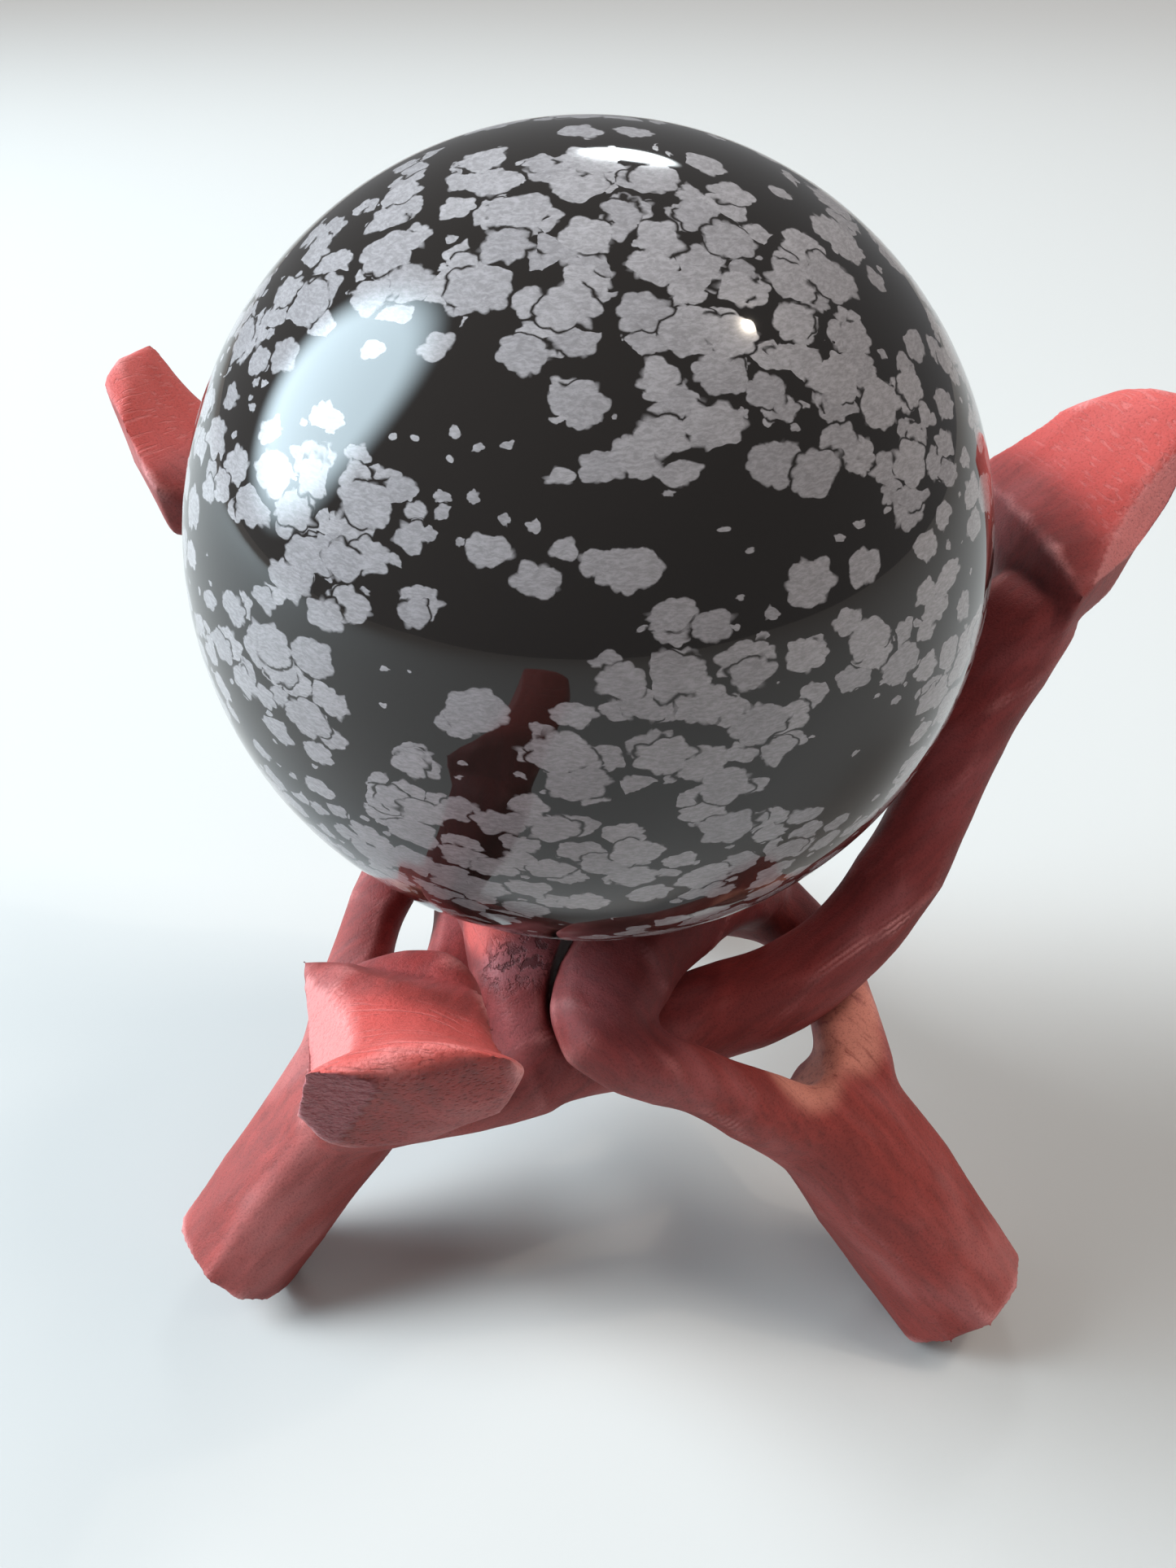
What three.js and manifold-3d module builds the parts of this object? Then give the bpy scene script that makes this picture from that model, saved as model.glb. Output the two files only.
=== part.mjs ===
// A polished stone sphere on a folding wooden stand of three interlocked carved legs.
// Units are millimetres and +Z is up. The origin is on the table, under the middle of the object's box.
import * as THREE from 'three';
import { ConvexGeometry } from 'three/addons/geometries/ConvexGeometry.js';
import { mergeVertices } from 'three/addons/utils/BufferGeometryUtils.js';
import Module from 'manifold-3d';

const wasm = await Module();
wasm.setup();

// Driving dimensions. The stand's upright axis passes through the middle of the sphere.
const SPHERE_DIAMETER = 60;
const SPHERE_CENTRE_HEIGHT = 67.8;
const SPHERE_SEGMENTS = 40;
const SPHERE_RINGS = 28;
// Clearance between pieces that touch
const GAP = 0.3;
// Height of the edge worn flat where each foot stands
const FOOT_WEAR = 0.6;
// A foot is sawn off square to its own length, through this point.
const FOOT_END = [-36.2, -17.85, 3.15];
const FOOT_AXIS = [-0.6, -0.296, -0.743];

// Colours read from the real surfaces
const STONE_COLOUR = 0x1d1b1c;

// The legs are carved by hand, so each differs a little in the girth and reach of its foot and in its head.
const LEGS = [
  { name: 'leg_right_head', colour: 0xa8483c, footGirth: 1.0, footShift: [1.9, 0.2, 0], wideHead: true },
  { name: 'leg_back_head', colour: 0xa04438, footGirth: 1.12, footShift: [0, 0, 0], wideHead: true },
  { name: 'leg_front_head', colour: 0xb04c40, footGirth: 1.05, footShift: [0.6, 0, 0], wideHead: false },
];
const LEG_COUNT = LEGS.length;

// Stations of one leg, for the leg whose foot stands at the front left and whose head rises at the right.
// Each gives a centre, a width across the limb and a depth from its top to its underside.
const FOOT_BAR = [
  { at: [-41.7, -20.6, -3.7], wide: 11.4, deep: 10.8 },
  { at: [-35.7, -17.6, 3.75], wide: 11.6, deep: 11.0 },
  { at: [-28.6, -14.2, 12.6], wide: 12.2, deep: 11.4 },
  { at: [-23.6, -11.6, 18.4], wide: 13.2, deep: 10.6 },
  { at: [-20.8, -9.8, 21.4], wide: 12.4, deep: 8.6 },
];
const OUTER_STRAND = [
  { at: [-25.6, -10.2, 16.6], wide: 6.0, deep: 8.0 },
  { at: [-22.8, -3.6, 23.6], wide: 6.8, deep: 7.0 },
  { at: [-20.6, 2.2, 28.7], wide: 5.6, deep: 5.8 },
  { at: [-16.6, 8.6, 33.4], wide: 8.0, deep: 6.6 },
  { at: [-12.4, 5.4, 34.2], wide: 9.8, deep: 8.6 },
  { at: [-7.4, -2.9, 34.8], wide: 10.6, deep: 9.0 },
  { at: [-5.4, -11.8, 33.2], wide: 10.0, deep: 8.6 },
  { at: [-4.4, -15.8, 28.8], wide: 7.4, deep: 7.0 },
];
const INNER_STRAND = [
  { at: [-26.4, -13.8, 16.2], wide: 6.0, deep: 8.0 },
  { at: [-19.8, -16.1, 21.6], wide: 7.0, deep: 7.4 },
  { at: [-11.6, -18.3, 25.8], wide: 6.6, deep: 5.6 },
  { at: [-4.4, -16.8, 27.8], wide: 7.6, deep: 7.4 },
];
const BODY = [
  { at: [-9.4, -18.2, 27.6], wide: 6.0, deep: 5.0 },
  { at: [-3.6, -15.6, 27.6], wide: 7.6, deep: 7.6 },
  { at: [3.4, -11.6, 25.6], wide: 8.2, deep: 8.0 },
  { at: [10.6, -8.4, 25.6], wide: 8.4, deep: 8.8 },
  { at: [17.4, -7.2, 27.6], wide: 8.2, deep: 8.8 },
  { at: [23.2, -5.4, 32.0], wide: 7.8, deep: 7.6 },
  { at: [28.8, -1.6, 39.6], wide: 7.4, deep: 6.8 },
  { at: [33.8, 4.6, 49.0], wide: 8.0, deep: 7.2 },
  { at: [38.2, 9.4, 56.0], wide: 9.4, deep: 8.4 },
  { at: [39.8, 10.8, 58.0], wide: 8.0, deep: 5.0 },
];

// Corners of one leg's flared head. The upper face is scooped between the outer tip and the inner corner.
const OUTER_TIP = [55.4, 17.9, 72.6];
const INNER_CORNER = [41.1, 4.0, 61.0];
const RIM_CORNER = [49.1, 24.9, 71.4];
const WIDE_CORNER = [36.4, 24.8, 67.2];
const HEAD_CORNERS = [
  OUTER_TIP,
  INNER_CORNER,
  RIM_CORNER,
  [54.2, 20.2, 71.5],
  [50.9, 22.1, 72.6],
  [36.7, 13.5, 59.0],
  [47.7, 22.6, 64.6],
  [48.6, 17.4, 60.2],
  [48.7, 14.2, 60.6],
  [45.0, 8.8, 58.4],
  [40.0, 4.6, 56.4],
  [36.4, 11.6, 55.0],
];
// Two heads are wider towards the sphere, and the third is thicker under its tip.
const WIDE_HEAD_CORNERS = [WIDE_CORNER, [37.6, 23.6, 59.0], [44.8, 23.4, 70.0]];
const NARROW_HEAD_CORNERS = [[54.3, 16.1, 67.7], [53.3, 16.2, 65.2], [51.8, 16.8, 63.4], [44.5, 23.2, 68.0]];
const SCOOP_DEPTH = 2.2;
const SCOOP_SIDES = 96;
const SCOOP_RINGS = 40;
// How far the middle of the scooped face stands above its two sides
const FACE_CROWN = 1.3;

/** A carved limb: a rounded square section that follows a smooth path and is closed at both ends. */
function limb(stations, { sides = 10, steps = 3, square = 2.8, grow = 0 } = {}) {
  const path = new THREE.CatmullRomCurve3(stations.map(({ at }) => new THREE.Vector3(...at)));
  const girth = new THREE.CatmullRomCurve3(
    stations.map(({ wide, deep }) => new THREE.Vector3(wide / 2 + grow, deep / 2 + grow, 0)),
  );
  const geometry = new THREE.CylinderGeometry(1, 1, 1, sides, steps * (stations.length - 1));
  const place = geometry.attributes.position;
  const up = new THREE.Vector3(0, 0, 1);
  for (let i = 0; i < place.count; i += 1) {
    const along = THREE.MathUtils.clamp(place.getY(i) + 0.5, 0, 1);
    const angle = Math.atan2(place.getZ(i), place.getX(i));
    const reach = Math.hypot(place.getX(i), place.getZ(i));
    const [cos, sin] = [Math.cos(angle), Math.sin(angle)];
    const swell = reach * (Math.abs(cos) ** square + Math.abs(sin) ** square) ** (-1 / square);
    const centre = path.getPoint(along);
    const tangent = path.getTangent(along);
    const half = girth.getPoint(along);
    const deepways = up.clone().addScaledVector(tangent, -up.dot(tangent)).normalize();
    const sideways = tangent.clone().cross(deepways);
    centre.addScaledVector(sideways, swell * cos * half.x);
    centre.addScaledVector(deepways, swell * sin * half.y);
    place.setXYZ(i, centre.x, centre.y, centre.z);
  }
  return geometry;
}

/** A manifold solid of a closed geometry. */
function solidOf(geometry) {
  const plain = geometry.clone();
  plain.deleteAttribute('normal');
  plain.deleteAttribute('uv');
  const merged = mergeVertices(plain, 1e-4);
  return new wasm.Manifold(new wasm.Mesh({
    numProp: 3,
    vertProperties: Float32Array.from(merged.attributes.position.array),
    triVerts: Uint32Array.from(merged.index.array),
  }));
}

/** The three.js geometry of a manifold solid. */
function geometryOf(solid) {
  const mesh = solid.getMesh();
  const geometry = new THREE.BufferGeometry();
  geometry.setAttribute('position', new THREE.BufferAttribute(mesh.vertProperties, 3));
  geometry.setIndex(new THREE.BufferAttribute(mesh.triVerts, 1));
  geometry.computeVertexNormals();
  return geometry;
}

/** A block that fills the side of a plane that the normal points to. */
function halfSpace(point, normal) {
  const size = 80;
  const block = new THREE.BoxGeometry(size, size, size).translate(0, 0, size / 2);
  const facing = new THREE.Vector3(...normal).normalize();
  const turn = new THREE.Quaternion().setFromUnitVectors(new THREE.Vector3(0, 0, 1), facing);
  block.applyQuaternion(turn);
  return block.translate(...point);
}

/** One leg's geometry turned about the stand's axis to its place. */
function placed(geometry, index) {
  return geometry.clone().rotateZ((2 * Math.PI * index) / LEG_COUNT);
}

/** A waisted cylinder whose side scoops a head's upper face lengthways and leaves it crowned across. */
function scoopCutter(farCorner) {
  const [tip, inner, far] = [OUTER_TIP, INNER_CORNER, farCorner].map((corner) => new THREE.Vector3(...corner));
  const chord = tip.clone().sub(inner);
  const normal = chord.clone().cross(far.clone().sub(tip)).normalize();
  const radius = (chord.length() ** 2 / 4 + SCOOP_DEPTH ** 2) / (2 * SCOOP_DEPTH);
  const axis = normal.clone().cross(chord).normalize();
  const halfWidth = far.clone().sub(tip).dot(axis) / 2;
  const cutter = new THREE.CylinderGeometry(1, 1, 4 * chord.length(), SCOOP_SIDES, SCOOP_RINGS);
  const place = cutter.attributes.position;
  for (let i = 0; i < place.count; i += 1) {
    const across = Math.min(Math.abs(place.getY(i) / halfWidth), 1.5);
    const waist = radius - FACE_CROWN * (1 - across ** 2);
    place.setXYZ(i, place.getX(i) * waist, place.getY(i), place.getZ(i) * waist);
  }
  cutter.applyQuaternion(new THREE.Quaternion().setFromUnitVectors(new THREE.Vector3(0, 1, 0), axis));
  const centre = tip.clone().add(inner).multiplyScalar(0.5);
  centre.addScaledVector(normal, radius - SCOOP_DEPTH).addScaledVector(axis, halfWidth);
  return cutter.translate(centre.x, centre.y, centre.z);
}

/** A leg's head: a cut block with a hollowed upper face. */
function headSolid(index) {
  const { wideHead } = LEGS[index];
  const corners = [...HEAD_CORNERS, ...(wideHead ? WIDE_HEAD_CORNERS : NARROW_HEAD_CORNERS)];
  const block = new ConvexGeometry(corners.map((corner) => new THREE.Vector3(...corner)));
  const cutter = scoopCutter(wideHead ? WIDE_CORNER : RIM_CORNER);
  return solidOf(placed(block, index)).subtract(solidOf(placed(cutter, index)));
}

// Solids that are cut away from the legs: the sphere's seat, the table, a foot's end, and the room that
// each leg leaves for its two neighbours.
const seat = solidOf(
  new THREE.SphereGeometry(SPHERE_DIAMETER / 2 + GAP, 64, 48).translate(0, 0, SPHERE_CENTRE_HEIGHT),
);
const table = solidOf(halfSpace([0, 0, FOOT_WEAR], [0, 0, -1]));
const footEnd = halfSpace(FOOT_END, FOOT_AXIS);
const passage = limb(BODY, { grow: GAP });
const strandClearance = limb(OUTER_STRAND, { grow: GAP });

/** The foot bar of one leg, with that leg's own girth and reach at the foot. */
function footStations(index) {
  const { footGirth, footShift } = LEGS[index];
  return FOOT_BAR.map(({ at, wide, deep }, station) => {
    const share = 1 - station / (FOOT_BAR.length - 1);
    const girth = THREE.MathUtils.lerp(1, footGirth, Math.min(1, 1.6 * share));
    const moved = at.map((value, axis) => value + footShift[axis] * Math.min(1, 1.3 * share));
    return { at: moved, wide: wide * girth, deep: deep * girth };
  });
}

/** One whole leg: its limbs and head joined, then cut back at the foot, the seat and the crossings. */
function legSolid(index) {
  const limbs = [footStations(index), OUTER_STRAND, INNER_STRAND, BODY];
  const parts = limbs.map((stations) => solidOf(placed(limb(stations), index)));
  const whole = parts.reduce((sum, part) => sum.add(part)).add(headSolid(index));
  return whole
    .subtract(solidOf(placed(footEnd.clone().translate(...LEGS[index].footShift), index)))
    .subtract(table)
    .subtract(seat)
    .subtract(solidOf(placed(passage, index + LEG_COUNT - 1)))
    .subtract(solidOf(placed(strandClearance, index + 1)));
}

// The assembled object
const model = new THREE.Group();

const stone = new THREE.Mesh(
  new THREE.SphereGeometry(SPHERE_DIAMETER / 2, SPHERE_SEGMENTS, SPHERE_RINGS).rotateX(Math.PI / 2),
  new THREE.MeshStandardMaterial({ color: STONE_COLOUR, roughness: 0.08, metalness: 0 }),
);
stone.name = 'stone_sphere';
stone.position.set(0, 0, SPHERE_CENTRE_HEIGHT);
model.add(stone);

LEGS.forEach(({ name, colour }, index) => {
  const leg = new THREE.Mesh(
    geometryOf(legSolid(index)),
    new THREE.MeshStandardMaterial({ color: colour, roughness: 0.75, metalness: 0 }),
  );
  leg.name = name;
  model.add(leg);
});

// The origin goes on the table under the middle of the box.
const box = new THREE.Box3().setFromObject(model, true);
const middle = box.getCenter(new THREE.Vector3());
model.position.set(-middle.x, -middle.y, -box.min.z);

export default model;
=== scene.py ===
"""Looks of a polished snowflake obsidian sphere on a folding stand of three carved, interlocked wooden legs.

Lengths in the code are metres, unless a name ends in MM, or in PX for pixels of the photograph. A pattern's
own sizes are in millimetres, because the materials first scale their coordinates to millimetres.
"""

import math

import bmesh
import bpy
import numpy as np
from mathutils import Euler, Matrix, Vector


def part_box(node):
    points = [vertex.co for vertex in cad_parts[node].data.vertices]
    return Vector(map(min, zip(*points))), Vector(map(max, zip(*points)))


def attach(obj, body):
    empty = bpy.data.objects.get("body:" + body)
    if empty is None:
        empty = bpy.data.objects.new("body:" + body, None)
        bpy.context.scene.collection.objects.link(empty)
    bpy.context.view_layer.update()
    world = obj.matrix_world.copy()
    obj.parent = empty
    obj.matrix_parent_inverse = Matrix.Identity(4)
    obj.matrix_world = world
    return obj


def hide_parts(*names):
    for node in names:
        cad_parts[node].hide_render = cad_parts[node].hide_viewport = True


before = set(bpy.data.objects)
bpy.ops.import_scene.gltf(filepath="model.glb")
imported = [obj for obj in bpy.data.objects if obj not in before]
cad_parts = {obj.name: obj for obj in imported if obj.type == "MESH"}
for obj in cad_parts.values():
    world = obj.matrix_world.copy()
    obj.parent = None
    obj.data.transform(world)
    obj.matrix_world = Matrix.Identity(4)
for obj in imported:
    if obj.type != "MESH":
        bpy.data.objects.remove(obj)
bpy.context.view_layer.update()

bl_info = {
    "name": "Obsidian Sphere on a Carved Stand",
    "version": (1, 0, 0),
    "blender": (4, 5, 0),
    "location": "3D View > Sidebar > Obsidian",
    "description": "Dresses a stone sphere and its three carved legs with their shapes, finishes and stage",
    "category": "Object",
}

MM = 0.001
BODY = "root"
SPHERE_LOW, SPHERE_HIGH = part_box("stone_sphere")
SPHERE_DIAMETER = SPHERE_HIGH[2] - SPHERE_LOW[2]
SPHERE_CENTRE = tuple((low + high) / 2 for low, high in zip(SPHERE_LOW, SPHERE_HIGH))

# The camera as solved from the photograph: its place, how far it looks down and how far it is rolled, both in
# degrees, and how far off the picture's plane lies. The roll was solved as +0.635. Its sign is wrong here,
# which turns the picture by 1.27 degrees against the photograph.
CAMERA_PLACE = (-0.00488, -0.08629, 0.11218)
CAMERA_PITCH_DOWN = 35.965
CAMERA_ROLL = -0.635
CAMERA_PRINCIPAL_DISTANCE_PX = 1615
PHOTO_WIDTH_PX = 1445
PHOTO_HEIGHT_PX = 1927
SENSOR_WIDTH_MM = 36
CAMERA_TURN = (
    Euler((math.radians(90 - CAMERA_PITCH_DOWN), 0, 0)).to_matrix()
    @ Matrix.Rotation(math.radians(CAMERA_ROLL), 3, "Z")
)

# Each leg: its CAD node, its material slot, how far it is turned about the stand's axis, and its stain.
LEGS = {
    "leg_right_head": {"slot": "wood_right", "turn": 0, "stain": (0.300, 0.047, 0.040, 1)},
    "leg_back_head": {"slot": "wood_back", "turn": 120, "stain": (0.290, 0.044, 0.036, 1)},
    "leg_front_head": {"slot": "wood_front", "turn": 240, "stain": (0.330, 0.050, 0.042, 1)},
}
STAND_AXIS = Vector((SPHERE_CENTRE[0], SPHERE_CENTRE[1], 0))

# One leg's landmarks in millimetres, measured from the stand's axis before the leg is turned to its place.
GRAIN_DIRECTION_MM = Vector((86, 36, 62))
HEAD_MIDDLE_MM = Vector((46, 14, 65))
HEAD_END_NORMAL = Vector((0.64, 0.68, -0.36)).normalized()
INNER_CORNER_MM = Vector((41.1, 4.0, 61.0))
OUTER_TIP_MM = Vector((55.4, 17.9, 72.6))
FACE_NORMAL = Vector((-0.31, -0.30, 0.90)).normalized()
FACE_SCOOP_MM = 2.2
ROUGH_END_MM = Vector((53.8, 18.4, 68.9))
ROUGH_END_NORMAL = Vector((0.88, 0.34, -0.34)).normalized()
FOOT_END_NORMAL = Vector((-0.6, -0.296, -0.743)).normalized()
FORK_PLACES_MM = ((-20.5, -11.0, 22.0), (-22.6, -8.2, 25.2), (-20.9, -14.3, 24.6), (-18.7, -16.8, 26.1))
FRESH_PLACES_MM = ((-10.4, -9.1, 36.7), (-9.0, -10.6, 37.2))
KNOT_PLACES_MM = ((-4.6, -13.2, 37.1), (-7.6, -13.6, 37.0), (-2.4, -11.6, 37.4))

# The small face along the side of a head's scooped face: its width in the middle, how steep it is, and how
# far above the line between the face's two corners and outside it the wood is still cut
SIDE_FACET_WIDTH_MM = 2.3
SIDE_FACET_SLOPE = 1.15
SIDE_FACET_REACH_MM = 3
# How often and how far the points of a head's two small faces are evened out, so that fewer faces are folded
EVENING_PASSES = 8
EVENING_SHARE = 0.6
# How far from the outer tip the rough face may reach
ROUGH_END_REACH_MM = 9

# How far from its places, a head's middle or the sphere's middle a mark is full, and where it has faded out
FORK_REACH_MM = (2.2, 4.6)
FRESH_REACH_MM = (1.2, 3.0)
KNOT_REACH_MM = (1.2, 3.6)
HEAD_END_REACH_MM = (13, 16)
# A head's face within these distances is painted lighter where it faces up: partly the fresh cut's colour,
# partly painted light
HEAD_FACE_REACH_MM = (11, 15)
# Painted shade: the legs are darkened within these distances of the sphere's middle, standing in for its
# shadow
SPHERE_SHADE_REACH_MM = (37, 52)
# How far from the sphere's middle the painted light on a head's face starts, outside the sphere's shade, and
# where it is full
HEAD_FACE_START_MM = (44, 47)
FOOT_END_HEIGHT_MM = 9
# About how far from a head's middle, and how high above the floor, a leg's edges are hardly eased
HEAD_REACH_MM = 13
FOOT_HEIGHT_MM = 13
# How far a point stands out over its neighbours, or lies below them, where rubbing (wear with a painted rim
# highlight) or a hollow (painted shade) starts, and where it is full
RUBBED_BEND_MM = (0.006, 0.028)
HOLLOW_SHADE_BEND_MM = (0.003, 0.020)
BEND_PASSES = 3


def on_stand(point_mm, turn):
    """A leg's landmark, turned about the stand's axis and moved to its place."""
    return STAND_AXIS + Matrix.Rotation(math.radians(turn), 3, "Z") @ (point_mm * MM)


class Value:
    """A socket that Python's own arithmetic works on, by adding Math nodes."""

    def __init__(self, tree, socket):
        self.tree = tree
        self.socket = socket

    def _math(self, operation, *operands, clamp=False):
        settings = {"operation": operation, "use_clamp": clamp}
        return self.tree.node("ShaderNodeMath", settings, dict(enumerate(operands)))[0]

    def __add__(self, other):
        return self._math("ADD", self, other)

    def __sub__(self, other):
        return self._math("SUBTRACT", self, other)

    def __rsub__(self, other):
        return self._math("SUBTRACT", other, self)

    def __mul__(self, other):
        return self._math("MULTIPLY", self, other)

    def __truediv__(self, other):
        return self._math("DIVIDE", self, other)

    def __rtruediv__(self, other):
        return self._math("DIVIDE", other, self)

    __radd__ = __add__
    __rmul__ = __mul__

    def highest(self, other):
        return self._math("MAXIMUM", self, other)

    def clamped(self):
        return self._math("ADD", self, 0, clamp=True)

    def step(self, low, high):
        """0 below low and 1 above high, with a smooth step between them."""
        settings = {"interpolation_type": "SMOOTHSTEP"}
        inputs = {"Value": self, "From Min": low, "From Max": high}
        return self.tree.node("ShaderNodeMapRange", settings, inputs)[0]

    def fade(self, low, high):
        """1 below low and 0 above high, with a smooth step between them."""
        return 1 - self.step(low, high)


class Outputs:
    """A node's outputs, by name or by number."""

    def __init__(self, tree, made):
        self.tree = tree
        self.made = made

    def __getitem__(self, key):
        return Value(self.tree, self.made.outputs[key])


class Tree:
    """Adds nodes to a shader tree or a geometry tree, from values and from other nodes' outputs."""

    def __init__(self, nodes):
        self.nodes = nodes

    def node(self, kind, settings=None, inputs=None):
        """Adds a node, sets its settings and then its sockets, and returns its outputs."""
        made = self.nodes.nodes.new(kind)
        for name, value in (settings or {}).items():
            setattr(made, name, value)
        for key, value in (inputs or {}).items():
            if isinstance(value, Value):
                self.nodes.links.new(value.socket, made.inputs[key])
            else:
                made.inputs[key].default_value = value
        return Outputs(self, made)

    def vector(self, operation, *operands, scale=None):
        """Vector Math, whose answer is a vector."""
        inputs = dict(enumerate(operands))
        if scale is not None:
            inputs["Scale"] = scale
        return self.node("ShaderNodeVectorMath", {"operation": operation}, inputs)["Vector"]

    def distance(self, a, b):
        return self.node("ShaderNodeVectorMath", {"operation": "DISTANCE"}, {0: a, 1: b})["Value"]

    def mix(self, factor, a, b, blend="MIX"):
        """Mixes two colours."""
        first_colour, second_colour, mixed_colour = 6, 7, 2
        settings = {"data_type": "RGBA", "blend_type": blend}
        inputs = {0: factor, first_colour: a, second_colour: b}
        return self.node("ShaderNodeMix", settings, inputs)[mixed_colour]

    def darken(self, factor, colour, by):
        """Multiplies a colour by another as far as the factor says."""
        return self.mix(factor, colour, by, "MULTIPLY")

    def noise(self, place, spacing, detail=2, roughness=0.5, output="Fac"):
        """Soft noise whose features are about the spacing apart."""
        inputs = {"Vector": place, "Scale": 1 / spacing, "Detail": detail, "Roughness": roughness}
        return self.node("ShaderNodeTexNoise", {}, inputs)[output]

    def warped(self, place, spacing, reach, detail=2):
        """A place moved about by noise, by up to about half the reach each way."""
        push = self.vector("SUBTRACT", self.noise(place, spacing, detail, output="Color"), (0.5, 0.5, 0.5))
        return self.vector("ADD", place, self.vector("SCALE", push, scale=reach))

    def millimetres(self):
        """The object's own coordinates in millimetres."""
        place = self.node("ShaderNodeTexCoord")["Object"]
        return self.vector("SCALE", place, scale=1 / MM)


def new_material(name):
    """A node material: its tree, its shader node and itself."""
    material = bpy.data.materials.new(name)
    material.use_nodes = True
    shader = material.node_tree.nodes["Principled BSDF"]
    return Tree(material.node_tree), shader, material


def link(tree, value, socket):
    tree.nodes.links.new(value.socket, socket)


def new_geometry_tree(name, sockets):
    """A geometry tree with the named inputs: its node group, the tree, and the outputs of its input node."""
    group = bpy.data.node_groups.new(name, "GeometryNodeTree")
    for label, kind in sockets:
        group.interface.new_socket(label, in_out="INPUT", socket_type=kind)
    group.interface.new_socket("Geometry", in_out="OUTPUT", socket_type="NodeSocketGeometry")
    tree = Tree(group)
    return group, tree, tree.node("NodeGroupInput")


def finish_geometry(tree, geometry, material):
    """Ends a geometry tree with plain geometry that carries its material."""
    real = tree.node("GeometryNodeRealizeInstances", {}, {0: geometry})[0]
    dressed = tree.node("GeometryNodeSetMaterial", {}, {"Geometry": real, "Material": material})[0]
    tree.node("NodeGroupOutput", {}, {0: dressed})


def apply_geometry(piece, group, values):
    """Runs a geometry tree on a piece with these input values and leaves a plain mesh."""
    modifier = piece.modifiers.new(group.name, "NODES")
    modifier.node_group = group
    for item in group.interface.items_tree:
        if item.in_out == "INPUT" and item.name in values:
            modifier[item.identifier] = values[item.name]
    bake_modifiers(piece)


def bake_modifiers(piece):
    """Turns a piece and its modifiers into a plain mesh."""
    bpy.context.view_layer.update()
    graph = bpy.context.evaluated_depsgraph_get()
    mesh = bpy.data.meshes.new_from_object(piece.evaluated_get(graph))
    piece.modifiers.clear()
    piece.data = mesh
    mesh.name = piece.name


def new_piece(name, mesh):
    piece = bpy.data.objects.new(name, mesh)
    bpy.context.scene.collection.objects.link(piece)
    return piece


def declare(piece, node):
    """Sets which body a piece rides on, and hides the CAD node that it stands for."""
    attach(piece, BODY)
    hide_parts(node)


# The stone. Where flakes crowd together and where the glass stays bare, read or merged in the
# photograph: the pixel in the middle, how many pixels it reaches, and how much it adds to or takes from the
# crowding. The sizes and amounts of the bare places are tuned.
CROWDED_PLACES_PX = (
    ((727, 360), 120, 0.60),
    ((940, 380), 140, 0.60),
    ((853, 300), 73, 0.50),
    ((593, 413), 67, 0.45),
    ((960, 513), 67, 0.55),
    ((1020, 593), 113, 0.60),
    ((833, 587), 60, 0.50),
    ((707, 553), 73, 0.50),
    ((1113, 527), 80, 0.50),
    ((487, 580), 40, 0.45),
    ((405, 682), 72, 0.45),
    ((350, 770), 72, 0.40),
    ((533, 780), 60, 0.50),
    ((820, 820), 93, 0.65),
    ((987, 847), 80, 0.50),
    ((833, 747), 60, 0.50),
    ((645, 892), 66, 0.50),
    ((865, 922), 78, 0.40),
    ((520, 907), 53, 0.50),
    ((893, 987), 60, 0.45),
    ((690, 1020), 112, 0.50),
    ((560, 527), 100, -1.40),
    ((613, 607), 93, -1.40),
    ((780, 673), 87, -1.40),
    ((920, 673), 100, -1.40),
    ((660, 697), 80, -1.40),
    ((653, 773), 87, -1.40),
    ((573, 693), 67, -1.40),
    ((493, 840), 65, -1.40),
    ((1040, 933), 77, -1.40),
    ((593, 947), 65, -1.40),
    ((1060, 667), 65, -1.40),
)

# Lone flakes on the bare glass, read in the photograph: the pixel in the middle, and half the width
# and half the height in pixels, some of them tuned.
LONE_FLAKES_PX = (
    ((603, 677), 29, 17),
    ((660, 713), 25, 19),
    ((773, 700), 37, 24),
    ((733, 690), 20, 13),
    ((997, 717), 32, 27),
    ((1063, 697), 25, 19),
    ((1043, 763), 20, 13),
    ((693, 677), 13, 9),
    ((510, 630), 15, 10),
)

# Each layer of flakes: its cells' share of the flakes' spacing, a flake's least and greatest reach in cells,
# how sparse the layer is where flakes don't crowd, how far its pattern is moved so that no two layers agree,
# and the places where it crowds. The specks come first, and are strewn evenly.
FLAKE_LAYERS = (
    (0.40, (0.15, 0.40), 2.40, (3.1, 8.7, 1.9), ()),
    (0.88, (0.25, 0.52), 0.90, (0, 0, 0), CROWDED_PLACES_PX),
    (1.02, (0.25, 0.52), 0.90, (17.3, 5.9, 11.4), CROWDED_PLACES_PX),
    (1.18, (0.25, 0.50), 0.90, (41.2, 23.8, 37.6), CROWDED_PLACES_PX),
)
# The width of a flake's blurred rim and of the dark seam between two flakes, in cells
EDGE = 0.022
SEAM = 0.05
# How unevenly the cells lie
CELL_UNEVENNESS = 0.62
# The lobes of a flake's rim: how many fit along a cell, and how deep they are in cells. A lone flake is
# widened to make up for them, by a share of the flakes' spacing.
LOBES = 4.6
LOBE_DEPTH = 0.17
LONE_WIDENING = 0.12
# The clusters that the noise makes by itself: their distance in radii, how sharply they stand out, and how
# rare they are. A crowded or bare place fades out between these two shares of its reach.
CLUSTER_SPACING = 0.30
CLUSTER_CONTRAST = 2.6
CLUSTER_RARITY = 0.80
PLACE_FADING = (0.7, 1.3)
GLASS_INDEX = 1.49


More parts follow.
